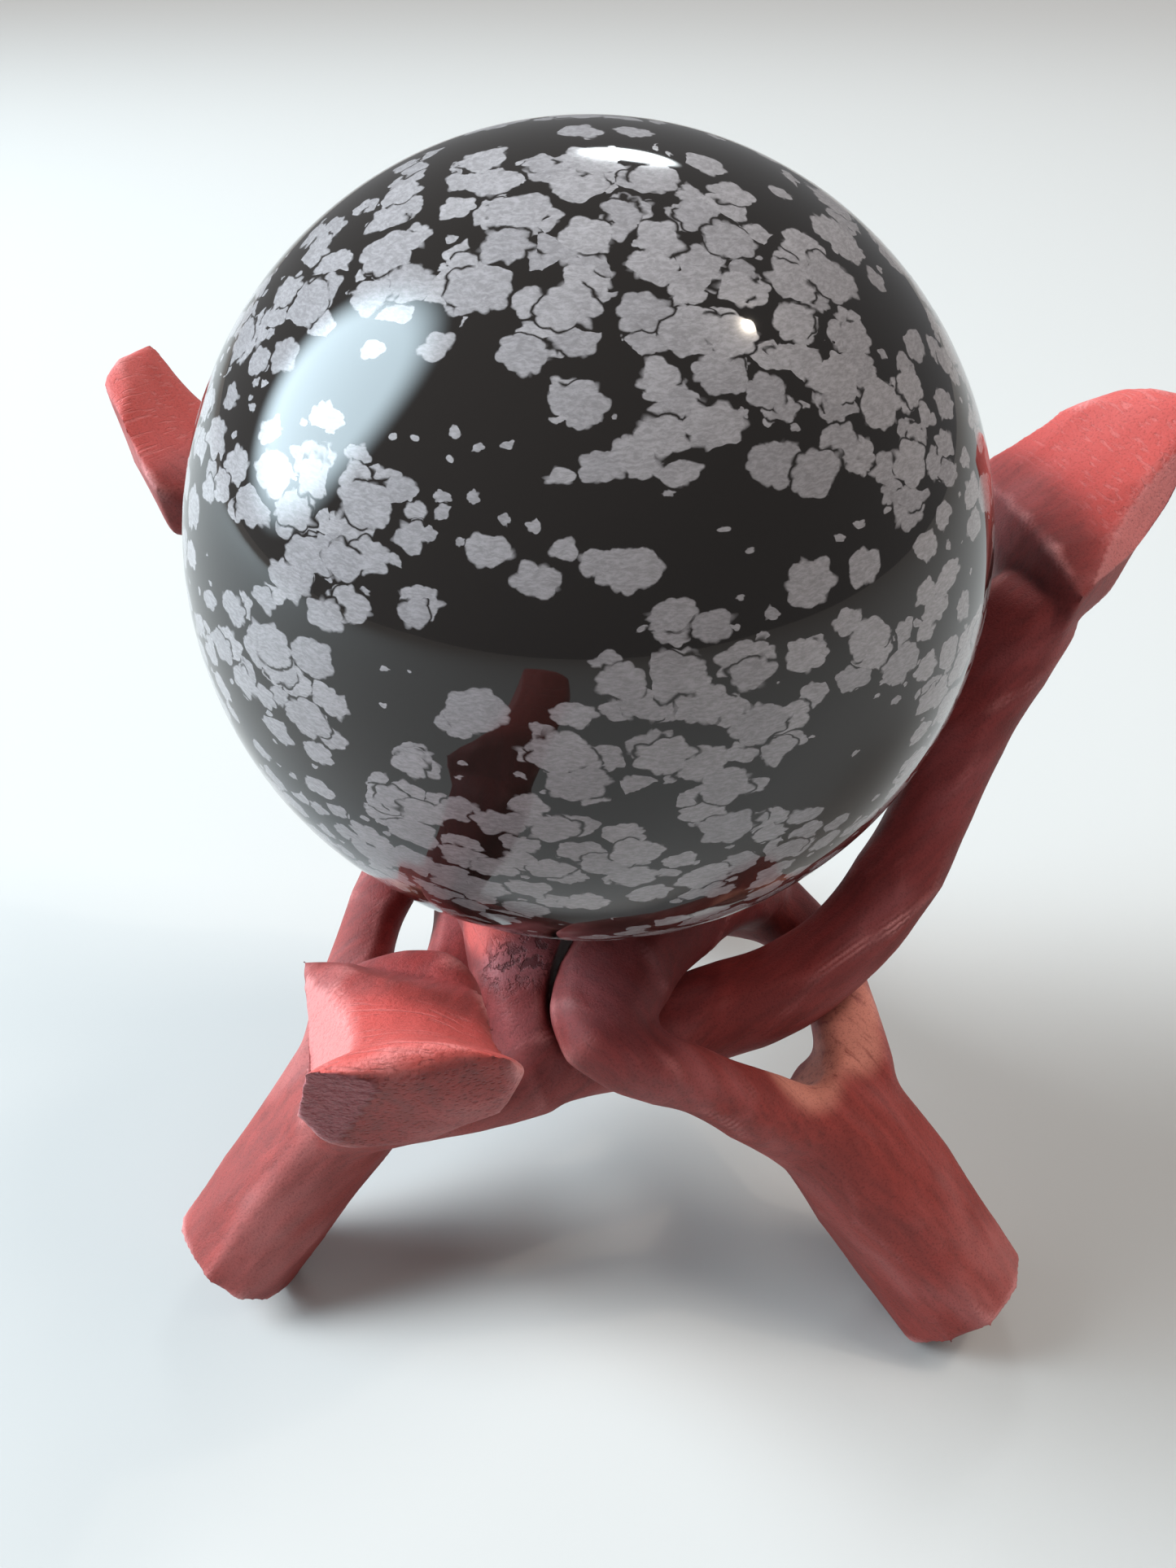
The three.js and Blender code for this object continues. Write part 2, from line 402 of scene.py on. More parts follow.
def seen_on_sphere(pixel):
    """Where a pixel of the picture shows the sphere: its direction from the middle, and its size in radii."""
    right, down = pixel[0] - PHOTO_WIDTH_PX / 2, pixel[1] - PHOTO_HEIGHT_PX / 2
    ray = (CAMERA_TURN @ Vector((right, -down, -CAMERA_PRINCIPAL_DISTANCE_PX))).normalized()
    radius = SPHERE_DIAMETER / 2
    offset = Vector(CAMERA_PLACE) - Vector(SPHERE_CENTRE)
    nearing = -offset.dot(ray)
    away = nearing - math.sqrt(nearing ** 2 - offset.length_squared + radius ** 2)
    return (offset + ray * away) / radius, away / CAMERA_PRINCIPAL_DISTANCE_PX / radius


def crowding(tree, place, radius, places):
    """How crowded the flakes are at a place on the sphere in millimetres: about 0 is bare, 1 is packed."""
    layered = tree.vector("MULTIPLY", place, (0.7, 0.7, 1.5))
    total = tree.noise(layered, CLUSTER_SPACING * radius, detail=1) * CLUSTER_CONTRAST - CLUSTER_RARITY
    for pixel, reach_px, amount in places:
        direction, pixel_size = seen_on_sphere(pixel)
        centre = tuple(centre / MM + radius * part for centre, part in zip(SPHERE_CENTRE, direction))
        reach = reach_px * pixel_size * radius
        near, far = (share * reach for share in PLACE_FADING)
        fading = {"From Min": near, "From Max": far, "To Min": amount, "To Max": 0}
        away = tree.distance(place, centre)
        total = total + tree.node("ShaderNodeMapRange", {}, {"Value": away, **fading})[0]
    return total


def flake_layer(tree, place, banding, radius, spacing, size, sparse, places):
    """One layer of round flakes, one to a cell: how far inside a flake a place lies, and its own number.

    Each cell's middle is brought onto the sphere's skin, so that a flake shows at its full size, and a cell
    whose middle lies too deep for that has no flake. The size is a flake's least and greatest reach in
    spacings.
    """
    inputs = {"Vector": place, "Scale": 1 / spacing, "Randomness": CELL_UNEVENNESS}
    cell = tree.node("ShaderNodeTexVoronoi", {"feature": "F1"}, inputs)
    own = tree.node("ShaderNodeSeparateColor", {}, {0: cell["Color"]})
    unbanding = {"Vector": cell["Position"], **banding}
    middle = tree.node("ShaderNodeMapping", {"vector_type": "TEXTURE"}, unbanding)[0]
    centre = tuple(part / MM for part in SPHERE_CENTRE)
    outward = tree.vector("NORMALIZE", tree.vector("SUBTRACT", middle, centre))
    on_skin = tree.vector("ADD", tree.vector("SCALE", outward, scale=radius), centre)
    depth = tree.distance(middle, on_skin) * (1 / spacing)
    crowd = crowding(tree, on_skin, radius, places)
    least, greatest = size
    reach = (crowd.clamped() * 0.4 + own[1] * 0.6) * (greatest - least) + least
    present = (crowd - own[0] * sparse).step(0, 0.02) * depth.fade(0.48, 0.50)
    banded_skin = tree.node("ShaderNodeMapping", {}, {"Vector": on_skin, **banding})[0]
    away = tree.distance(place, banded_skin) * (1 / spacing)
    return reach * present + (present - 1) - away - lobes(tree, place, spacing), own[2]


def lobes(tree, place, spacing):
    """How far a flake's rim is drawn in between its rounded lobes, in spacings."""
    inputs = {"Vector": place, "Scale": LOBES / spacing}
    return tree.node("ShaderNodeTexVoronoi", {"feature": "F1"}, inputs)["Distance"] * LOBE_DEPTH


def lone_flakes(tree, place, spacing, radius):
    """How far inside one of the lone flakes a place lies, in spacings."""
    inside = None
    for pixel, half_width_px, half_height_px in LONE_FLAKES_PX:
        direction, pixel_size = seen_on_sphere(pixel)
        centre = tuple(centre / MM + radius * part for centre, part in zip(SPHERE_CENTRE, direction))
        offset = tree.vector("SUBTRACT", place, centre)
        flattened = tree.vector("MULTIPLY", offset, (1, 1, half_width_px / half_height_px))
        away = tree.distance(flattened, (0, 0, 0))
        own = (half_width_px * pixel_size * radius - away) * (1 / spacing)
        inside = own if inside is None else inside.highest(own)
    return inside - lobes(tree, place, spacing) + LONE_WIDENING


def stone_material(settings):
    """Black volcanic glass with grey snowflakes, polished all over."""
    tree, shader, material = new_material("polished_snowflake_obsidian")
    radius = SPHERE_DIAMETER / 2 / MM
    place = tree.millimetres()
    banding = {
        "Rotation": (0, math.radians(settings.band_tilt), 0),
        "Scale": Vector((1, 1, settings.flake_flatness)),
    }
    banded = tree.node("ShaderNodeMapping", {}, {"Vector": tree.warped(place, 2.6, 1.1), **banding})[0]
    frayed = tree.warped(banded, 0.7, 0.30, detail=3)
    spacing = settings.flake_spacing / MM
    merging = tree.noise(place, 2.2).step(0.48, 0.55)
    lone = lone_flakes(tree, tree.warped(place, 0.9, 0.5, detail=3), spacing, radius)
    flake, tone = lone.step(-EDGE, EDGE), 0.3
    for share, size, sparse, offset, places in FLAKE_LAYERS:
        moved = tree.vector("ADD", frayed, offset)
        shifted = {**banding, "Location": offset}
        inside, own = flake_layer(tree, moved, shifted, radius, share * spacing, size, sparse, places)
        apart = inside.fade(-SEAM - EDGE, -SEAM + EDGE).highest(merging)
        shown = inside.step(-EDGE, EDGE)
        flake = (flake * apart).highest(shown)
        tone = shown * (own - tone) + tone
    streaked = tree.vector("MULTIPLY", tree.warped(place, 1.2, 0.5), (0.40, 0.40, 1.3))
    speckle = tree.noise(streaked, 0.20, detail=3, roughness=0.7).step(0.32, 0.70)
    cloud = tree.noise(place, 1.5, detail=3)
    pale = tree.mix(speckle * 0.6 + cloud * 0.4, settings.flake_shade, settings.flake_colour)
    pale = tree.darken(tone * 0.3, pale, (0.5, 0.5, 0.52, 1))
    colour = tree.mix(flake, settings.glass_colour, pale)
    link(tree, colour, shader.inputs["Base Color"])
    link(tree, flake * 0.10 + settings.polish, shader.inputs["Roughness"])
    shader.inputs["IOR"].default_value = GLASS_INDEX
    return material


def sphere_tree(material):
    """A cube whose faces are blown up to a sphere: it has no poles and its faces are nearly even."""
    sockets = (
        ("Radius", "NodeSocketFloat"), ("Centre", "NodeSocketVector"), ("Points a Side", "NodeSocketInt"),
    )
    group, tree, given = new_geometry_tree("blown_sphere", sockets)
    side = given["Points a Side"]
    grid = {"Size": (2, 2, 2), "Vertices X": side, "Vertices Y": side, "Vertices Z": side}
    cube = tree.node("GeometryNodeMeshCube", {}, grid)["Mesh"]
    place = tree.node("GeometryNodeInputPosition")[0]
    out = tree.vector("SCALE", tree.vector("NORMALIZE", place), scale=given["Radius"])
    moved = tree.vector("ADD", out, given["Centre"])
    round_cube = tree.node("GeometryNodeSetPosition", {}, {"Geometry": cube, "Position": moved})[0]
    smooth = tree.node("GeometryNodeSetShadeSmooth", {}, {0: round_cube})[0]
    finish_geometry(tree, smooth, material)
    return group


class StoneSettings(bpy.types.PropertyGroup):
    """The stone sphere's finish."""

    detail: bpy.props.IntProperty(
        name="Points a Side", description="Points along each side of the cube that becomes the sphere",
        default=97, min=9)
    glass_colour: bpy.props.FloatVectorProperty(
        name="Glass Colour", description="Colour of the black glass", subtype="COLOR", size=4,
        default=(0.014, 0.0113, 0.0100, 1))
    flake_colour: bpy.props.FloatVectorProperty(
        name="Flake Colour", description="Colour of the snowflakes", subtype="COLOR", size=4,
        default=(0.355, 0.335, 0.345, 1))
    flake_shade: bpy.props.FloatVectorProperty(
        name="Flake Shade", description="Colour of the darker grain in the snowflakes",
        subtype="COLOR", size=4, default=(0.190, 0.176, 0.180, 1))
    flake_spacing: bpy.props.FloatProperty(
        name="Flake Spacing", description="Distance between the middles of crowded snowflakes", unit="LENGTH",
        default=0.0044)
    flake_flatness: bpy.props.FloatProperty(
        name="Flake Flatness", description="How many times wider than high a snowflake is", default=1.45)
    band_tilt: bpy.props.FloatProperty(
        name="Band Tilt", description="Tilt of the bands that the snowflakes lie in, in degrees", default=-8)
    polish: bpy.props.FloatProperty(
        name="Gloss Roughness", description="Roughness of the polished glass", subtype="FACTOR",
        default=0.035)


class CARVED_OT_stone_sphere(bpy.types.Operator):
    """Makes the polished snowflake obsidian sphere"""

    bl_idname = "obsidian.stone_sphere"
    bl_label = "Stone Sphere"

    def execute(self, context):
        settings = context.scene.stone_settings
        group = sphere_tree(stone_material(settings))
        piece = new_piece("polished_sphere", bpy.data.meshes.new("polished_sphere"))
        values = {"Radius": SPHERE_DIAMETER / 2, "Centre": SPHERE_CENTRE, "Points a Side": settings.detail}
        apply_geometry(piece, group, values)
        declare(piece, "stone_sphere")
        return {"FINISHED"}


def carving_tree(material):
    """Softens a leg's edges, less so at its head and sawn foot, and leaves the shallow hollows of a knife."""
    sockets = (
        ("Geometry", "NodeSocketGeometry"), ("Softening", "NodeSocketInt"),
        ("Head", "NodeSocketVector"), ("Worn Corner", "NodeSocketVector"),
        ("Head Reach", "NodeSocketFloat"), ("Foot Height", "NodeSocketFloat"),
        ("Cut Length", "NodeSocketFloat"), ("Cut Depth", "NodeSocketFloat"), ("Turn", "NodeSocketVector"),
    )
    group, tree, given = new_geometry_tree("knife_carving", sockets)
    position = tree.node("GeometryNodeInputPosition")[0]
    height = tree.node("ShaderNodeSeparateXYZ", {}, {0: position})["Z"]
    head_reach, foot_height = given["Head Reach"], given["Foot Height"]
    from_head = tree.distance(position, given["Head"])
    off_head = from_head.step(head_reach * 0.8, head_reach * 1.3)
    above_foot = height.step(foot_height * 0.5, foot_height * 1.2)
    at_corner = tree.distance(position, given["Worn Corner"]).fade(head_reach * 0.10, head_reach * 0.24)
    soft = (off_head * above_foot).highest(at_corner)
    blur_settings = {"data_type": "FLOAT_VECTOR"}
    blurred = tree.node(
        "GeometryNodeBlurAttribute", blur_settings,
        {"Value": position, "Iterations": given["Softening"], "Weight": soft * 0.94 + 0.06},
    )["Value"]
    easing = {"Geometry": given["Geometry"], "Position": blurred}
    softened = tree.node("GeometryNodeSetPosition", {}, easing)[0]
    turned = tree.node("ShaderNodeVectorRotate", {"rotation_type": "EULER_XYZ"},
                       {"Vector": position, "Rotation": given["Turn"]})[0]
    stretched = tree.vector("MULTIPLY", turned, (0.5, 1, 1))
    hollow = tree.node("ShaderNodeTexVoronoi", {"feature": "F1"},
                       {"Vector": stretched, "Scale": 1 / given["Cut Length"], "Randomness": 0.9})["Distance"]
    depth = (hollow * hollow - 0.5) * given["Cut Depth"]
    normal = tree.node("GeometryNodeInputNormal")[0]
    offset = tree.vector("SCALE", normal, scale=depth)
    cut = tree.node("GeometryNodeSetPosition", {}, {"Geometry": softened, "Offset": offset})[0]
    smooth = tree.node("GeometryNodeSetShadeSmooth", {}, {0: cut})[0]
    finish_geometry(tree, smooth, material)
    return group


def merged_copy(node, name):
    """A closed copy of a CAD node's mesh, as a piece of its own."""
    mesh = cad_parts[node].data.copy()
    mesh.materials.clear()
    solid = bmesh.new()
    solid.from_mesh(mesh)
    bmesh.ops.remove_doubles(solid, verts=solid.verts, dist=0.001 * MM)
    solid.to_mesh(mesh)
    solid.free()
    return new_piece(name, mesh)


def point_table(mesh, attribute):
    values = np.empty(len(mesh.vertices) * 3, np.float32)
    mesh.vertices.foreach_get(attribute, values)
    return values.reshape(-1, 3)


def neighbour_mean(mesh, values):
    """The mean of each point's neighbours' values."""
    edges = np.empty(len(mesh.edges) * 2, np.int32)
    mesh.edges.foreach_get("vertices", edges)
    a, b = edges.reshape(-1, 2).T
    total = np.zeros_like(values)
    np.add.at(total, a, values[b])
    np.add.at(total, b, values[a])
    count = np.bincount(np.concatenate((a, b)), minlength=len(values)).astype(np.float32)
    return total / (count[:, None] if values.ndim > 1 else count)


def smooth_step(values, low, high):
    share = np.clip((values - low) / (high - low), 0, 1)
    return share * share * (3 - 2 * share)


def store(mesh, name, values):
    layer = mesh.attributes.new(name, "FLOAT", "POINT")
    layer.data.foreach_set("value", values.astype(np.float32))


def faded(gaps, reach_mm):
    """1 where the gap is within the first distance, fading to 0 at the second one."""
    near, far = reach_mm
    return smooth_step(-gaps, -far * MM, -near * MM)


def near_places(points, places_mm, turn, reach_mm):
    """1 within the first distance of any of a leg's places, fading to 0 at the second one."""
    gaps = [np.linalg.norm(points - np.array(on_stand(Vector(place), turn)), axis=1) for place in places_mm]
    return faded(np.min(gaps, axis=0), reach_mm)


def pare_head(mesh, turn):
    """Cuts two small faces on a head: one along the side of its scooped face, and a rough one at its tip."""
    place = Matrix.Rotation(math.radians(turn), 3, "Z")
    edge = OUTER_TIP_MM - INNER_CORNER_MM
    along = edge.normalized()
    inward = FACE_NORMAL.cross(along).normalized()
    upward = along.cross(inward)
    points = point_table(mesh, "co")
    offset = (points - np.array(on_stand(INNER_CORNER_MM, turn))) / MM
    share = np.clip(offset @ np.array(place @ along) / edge.length, 0, 1)
    height = offset @ np.array(place @ upward)
    bulge = 1 - (2 * share - 1) ** 2
    across = offset @ np.array(place @ inward)
    limit = -FACE_SCOOP_MM * bulge - SIDE_FACET_SLOPE * (SIDE_FACET_WIDTH_MM * bulge - across)
    beside = (across < SIDE_FACET_WIDTH_MM * bulge) & (across > -SIDE_FACET_REACH_MM)
    cut = beside & (height > limit) & (height < SIDE_FACET_REACH_MM)
    points -= np.outer(np.where(cut, height - limit, 0) * MM, np.array(place @ upward))
    outward = np.array(place @ ROUGH_END_NORMAL)
    beyond = (points - np.array(on_stand(ROUGH_END_MM, turn))) @ outward
    from_tip = np.linalg.norm(points - np.array(on_stand(OUTER_TIP_MM, turn)), axis=1)
    rough = (beyond > 0) & (from_tip < ROUGH_END_REACH_MM * MM)
    points -= np.outer(np.where(rough, beyond, 0), outward)
    moved = cut | rough
    for _ in range(EVENING_PASSES):
        points[moved] += (neighbour_mean(mesh, points)[moved] - points[moved]) * EVENING_SHARE
    # The side facet's mask, which the wood lightens with a painted sheen
    store(mesh, "pale", cut)
    store(mesh, "rough", rough)
    mesh.vertices.foreach_set("co", points.ravel())
    mesh.update()


def mark_wear(mesh, turn):
    """Stores where a leg is rubbed (also a painted rim highlight), hollow (painted shade), sawn, pared and
    knotty, where its head's face is fresh and takes painted light, and where painted shade from the sphere
    falls.
    """
    places = point_table(mesh, "co")
    normals = point_table(mesh, "normal")
    bend = ((places - neighbour_mean(mesh, places)) * normals).sum(axis=1)
    for _ in range(BEND_PASSES):
        bend = neighbour_mean(mesh, bend)
    # Convex rims: real wear, and also a painted rim highlight
    store(mesh, "rubbed_and_rim_lit", smooth_step(bend / MM, *RUBBED_BEND_MM))
    # Concave places, which the wood darkens with painted shade
    store(mesh, "hollow", smooth_step(-bend / MM, *HOLLOW_SHADE_BEND_MM))
    facing = Matrix.Rotation(math.radians(turn), 3, "Z")
    foot_facing = normals @ np.array(facing @ FOOT_END_NORMAL)
    head_facing = normals @ np.array(facing @ HEAD_END_NORMAL)
    from_head = np.linalg.norm(places - np.array(on_stand(HEAD_MIDDLE_MM, turn)), axis=1)
    foot_end = smooth_step(foot_facing, 0.8, 0.93) * (places[:, 2] < FOOT_END_HEIGHT_MM * MM)
    head_end = smooth_step(head_facing, 0.75, 0.9) * faded(from_head, HEAD_END_REACH_MM)
    store(mesh, "sawn", np.maximum(foot_end, head_end))
    store(mesh, "pared", near_places(places, FORK_PLACES_MM, turn, FORK_REACH_MM))
    from_sphere = np.linalg.norm(places - np.array(SPHERE_CENTRE), axis=1)
    fresh = near_places(places, FRESH_PLACES_MM, turn, FRESH_REACH_MM)
    # Painted shade near the sphere, standing in for its shadow, kept off the fresh places
    store(mesh, "sphere_shade", faded(from_sphere, SPHERE_SHADE_REACH_MM) * (1 - fresh))
    store(mesh, "knotty", near_places(places, KNOT_PLACES_MM, turn, KNOT_REACH_MM))
    # Painted light on up-facing head faces outside the sphere's shade, together with the fresh places
    fresh_and_lit_face = faded(from_head, HEAD_FACE_REACH_MM) * smooth_step(normals[:, 2], 0.3, 0.6)
    clear = smooth_step(from_sphere, *(distance * MM for distance in HEAD_FACE_START_MM))
    store(mesh, "fresh_and_lit_face", np.maximum(fresh_and_lit_face * clear, fresh))


# How dark the darker grain is, as a share of the stain, and the wood's fine relief: its depth and strength
DARK_GRAIN = 0.68
RELIEF_DEPTH_MM = 0.14
RELIEF_STRENGTH = 0.75


def wood_material(name, stain, settings, turn):
    """Stained, hand-carved wood: matt, with its grain along the leg, rubbed edges and rough sawn ends, and
    painted
    light and shade: sheen, rim highlights, lit head faces, shaded hollows and the sphere's shade.
    """
    tree, shader, material = new_material(name)
    place = tree.millimetres()
    marks = {
        mark: tree.node("ShaderNodeAttribute", {"attribute_name": mark})["Fac"]
        for mark in ("rubbed_and_rim_lit", "hollow", "sawn", "pared", "knotty", "fresh_and_lit_face", "pale", "rough", "sphere_shade")
    }
    direction = Matrix.Rotation(math.radians(turn), 3, "Z") @ GRAIN_DIRECTION_MM
    straighten = direction.to_track_quat("X", "Z").inverted().to_euler()
    along = tree.node("ShaderNodeMapping", {}, {"Vector": place, "Rotation": tuple(straighten)})[0]
    wavy = tree.warped(along, 9, 1.6)
    fibres = tree.noise(tree.vector("MULTIPLY", wavy, (0.10, 1, 1)), settings.grain_spacing / MM, 5, 0.6)
    patches = tree.noise(tree.vector("MULTIPLY", along, (0.4, 1, 1)), 7, 3)
    grit = tree.noise(place, 0.20, 3, 0.75)
    strokes = tree.noise(tree.vector("MULTIPLY", along, (1, 0.03, 1)), 0.35, 3)
    scrapes = strokes.step(0.54, 0.66) * marks["fresh_and_lit_face"]
    pits = tree.noise(place, 0.9, 4, 0.7).fade(0.40, 0.52) * marks["knotty"]
    chips = tree.noise(place, 0.7, 3, 0.6) * marks["rough"]
    dark = tuple(DARK_GRAIN * part for part in stain[:3]) + (1,)
    colour = tree.mix(fibres.step(0.28, 0.66), dark, stain)
    # Dry patches in the worn colour, which also stands in for painted sheen on the lit faces
    colour = tree.mix(patches.step(0.45, 0.72) * 0.32, colour, settings.worn_and_sheen_colour)
    colour = tree.mix(patches.fade(0.32, 0.46) * 0.55, colour, dark)
    # Painted light on the up-facing head faces, mixed with the fresh cut's own colour
    colour = tree.mix(marks["fresh_and_lit_face"] * 0.65, colour, settings.fresh_and_lit_face_colour)
    # Painted shade: darker near the sphere, standing in for the sphere's shadow
    colour = tree.darken(marks["sphere_shade"], colour, settings.sphere_shade_colour)
    colour = tree.mix(scrapes * 0.20, colour, settings.worn_and_sheen_colour)
    # Painted sheen on the small side facet of each head
    colour = tree.mix(marks["pale"] * 0.55, colour, settings.worn_and_sheen_colour)
    # Rubbed edges, lighter as wear and as a painted rim highlight
    colour = tree.mix((marks["rubbed_and_rim_lit"] * (grit * 0.9 + 0.5)).clamped() * 0.80, colour, settings.worn_and_sheen_colour)
    colour = tree.mix(marks["pared"] * fibres.step(0.22, 0.50) * 0.80, colour, settings.bare_colour)
    # Painted shade in the hollows
    colour = tree.darken(marks["hollow"] * 0.80, colour, (0.38, 0.26, 0.30, 1))
    colour = tree.mix(marks["knotty"] * 0.45 + marks["rough"] * 0.75, colour, settings.knot_colour)
    pores = tree.node("ShaderNodeTexVoronoi", {}, {"Vector": place, "Scale": 3.6})["Distance"]
    end_grain = marks["sawn"] * (pores.fade(0.15, 0.40) * 0.22 + 0.40)
    colour = tree.darken(end_grain.clamped(), colour, (0.54, 0.22, 0.24, 1))
    colour = tree.darken((grit.fade(0.34, 0.50) * 0.5).highest(pits), colour, (0.40, 0.32, 0.33, 1))
    link(tree, colour, shader.inputs["Base Color"])
    roughness = fibres * 0.16 + marks["sawn"] * 0.1 + (0.54 - marks["rubbed_and_rim_lit"] * 0.1)
    link(tree, roughness, shader.inputs["Roughness"])
    shader.inputs["Specular IOR Level"].default_value = 0.4
    relief = fibres * 0.5 + grit * 0.65 + chips * 9.0
    relief = relief - scrapes * 0.5 - pits * 2.5 - marks["sawn"] * pores.fade(0.1, 0.45) * 0.8
    bumps = {"Height": relief, "Strength": RELIEF_STRENGTH, "Distance": RELIEF_DEPTH_MM * MM}
    link(tree, tree.node("ShaderNodeBump", {}, bumps)["Normal"], shader.inputs["Normal"])
    return material


class WoodSettings(bpy.types.PropertyGroup):
    """The three legs' carving and finish."""

    voxel: bpy.props.FloatProperty(
        name="Mesh Fineness", description="Size of the faces of a leg's surface", unit="LENGTH",
        default=0.00036)
    softening: bpy.props.IntProperty(
        name="Softening", description="How many times a limb's edges are eased", default=16, min=0)
    cut_length: bpy.props.FloatProperty(
        name="Cut Length", description="Distance between the hollows that the knife left", unit="LENGTH",
        default=0.0062)
    cut_depth: bpy.props.FloatProperty(
        name="Cut Depth", description="Depth of the hollows that the knife left", unit="LENGTH",
        default=0.00065)
    grain_spacing: bpy.props.FloatProperty(
        name="Grain Spacing", description="Distance between the wood's fibres", unit="LENGTH", default=0.0008)
    # The worn colour is also painted sheen: on the lit faces, the side facet and the rims
    worn_and_sheen_colour: bpy.props.FloatVectorProperty(
        name="Worn and Sheen Colour", description="Colour of rubbed edges and dry patches", subtype="COLOR", size=4,
        default=(0.62, 0.24, 0.23, 1))
    # Painted shade that the sphere would cast on the legs near it
    sphere_shade_colour: bpy.props.FloatVectorProperty(
        name="Sphere Shade Tint", description="How the stain stays darker close to the sphere",
        subtype="COLOR", size=4, default=(0.60, 0.46, 0.52, 1))
    bare_colour: bpy.props.FloatVectorProperty(
        name="Pared Colour", description="Colour of the pale faces pared at the fork",
        subtype="COLOR", size=4, default=(0.64, 0.25, 0.185, 1))
    # The fresh face of each head, also painted light where it faces up
    fresh_and_lit_face_colour: bpy.props.FloatVectorProperty(
        name="Fresh and Lit Face Colour", description="Colour of the fresh hollowed face of each head",
        subtype="COLOR", size=4, default=(0.56, 0.080, 0.068, 1))
    knot_colour: bpy.props.FloatVectorProperty(
        name="Knot Colour", description="Colour of the rough knot beside the sphere", subtype="COLOR", size=4,
        default=(0.36, 0.120, 0.135, 1))


class CARVED_OT_legs(bpy.types.Operator):
    """Makes the three carved wooden legs"""

    bl_idname = "obsidian.legs"
    bl_label = "Carved Legs"

    def execute(self, context):
        settings = context.scene.wood_settings
        for node, leg in LEGS.items():
            piece = merged_copy(node, "carved_" + node)
            remesh = piece.modifiers.new("even_faces", "REMESH")
            remesh.mode = "VOXEL"
            remesh.voxel_size = settings.voxel
            bake_modifiers(piece)
            pare_head(piece.data, leg["turn"])
            material = wood_material("stained_" + leg["slot"], leg["stain"], settings, leg["turn"])
            grain = Matrix.Rotation(math.radians(leg["turn"]), 3, "Z") @ GRAIN_DIRECTION_MM
            values = {
                "Softening": settings.softening,
                "Head": on_stand(HEAD_MIDDLE_MM, leg["turn"]),
                "Worn Corner": on_stand(INNER_CORNER_MM, leg["turn"]),
                "Head Reach": HEAD_REACH_MM * MM,
                "Foot Height": FOOT_HEIGHT_MM * MM,
                "Cut Length": settings.cut_length,
                "Cut Depth": settings.cut_depth,
                "Turn": Vector(grain.to_track_quat("X", "Z").inverted().to_euler()),
            }
            apply_geometry(piece, carving_tree(material), values)
            mark_wear(piece.data, leg["turn"])
            declare(piece, node)
        return {"FINISHED"}


class StageSettings(bpy.types.PropertyGroup):
    """The floor and the room's even light."""

    floor_size: bpy.props.FloatProperty(
        name="Floor Size", description="Length of the floor's side", unit="LENGTH", default=4.0)
    floor_colour: bpy.props.FloatVectorProperty(
        name="Floor Colour", description="Colour of the plain floor", subtype="COLOR", size=4,
        default=(0.45, 0.445, 0.436, 1))
    sky_strength: bpy.props.FloatProperty(
        name="Sky Strength", description="Brightness of the even light from all round", default=0.24, min=0)
    room_brightness: bpy.props.FloatProperty(
        name="Room Brightness", description="Brightness of the room's even lights, as a factor",
        default=1.0, min=0)


# The even lights of the room: the direction that each comes from, its strength, how widely it is spread in
# degrees, and its colour.
ROOM_LIGHTS = {
    "daylight": ((-0.80, 0.12, 0.65), 2.1, 22, (1.0, 0.96, 0.94)),
    "room_light": ((0.55, 0.05, 0.85), 1.5, 25, (1.0, 0.93, 0.86)),
}

# Each soft lamp: its direction from the sphere's middle, distance, width, height, strength in watts, colour,
# and whether the polished stone mirrors it.
LAMPS = {
    "window": ((-0.84, 0.10, 0.52), 1.05, 0.85, 1.25, 27.0, (0.72, 0.90, 1.0), True),
    "skylight": ((0.10, 0.80, 0.60), 0.90, 0.24, 0.12, 1.3, (0.90, 0.97, 1.0), True),
    "ceiling_lamp": ((0.562, 0.038, 0.826), 0.55, 0.022, 0.022, 0.3, (1.0, 0.88, 0.74), True),
    "front_fill": ((0.30, -0.80, 0.55), 1.20, 0.70, 0.55, 1.0, (1.0, 0.95, 0.92), False),
}


# Where a soft lamp's glow starts to fade and where it ends, in widths from its middle, and how strong it is
GLOW_FADING = (0.28, 0.5)
GLOW_STRENGTH = 1.5
SKY_COLOUR = (0.95, 0.97, 1.0, 1)
FLOOR_ROUGHNESS = 0.85


def soften_edges(lamp):
    """Fades a lamp's face towards its rim, so that polished stone mirrors it softly."""
    lamp.use_nodes = True
    tree = Tree(lamp.node_tree)
    across = tree.node("ShaderNodeNewGeometry")["Parametric"]
    from_middle = tree.distance(across, (0.5, 0.5, 0))
    glow = from_middle.fade(*GLOW_FADING)
    link(tree, glow * GLOW_STRENGTH, lamp.node_tree.nodes["Emission"].inputs["Strength"])


def place_light(context, light, place, mirrored):
    """Puts a light at a place, facing the sphere."""
    holder = bpy.data.objects.new(light.name, light)
    holder.visible_glossy = mirrored
    context.scene.collection.objects.link(holder)
    holder.location = place
    holder.rotation_euler = (place - Vector(SPHERE_CENTRE)).to_track_quat("Z", "Y").to_euler()


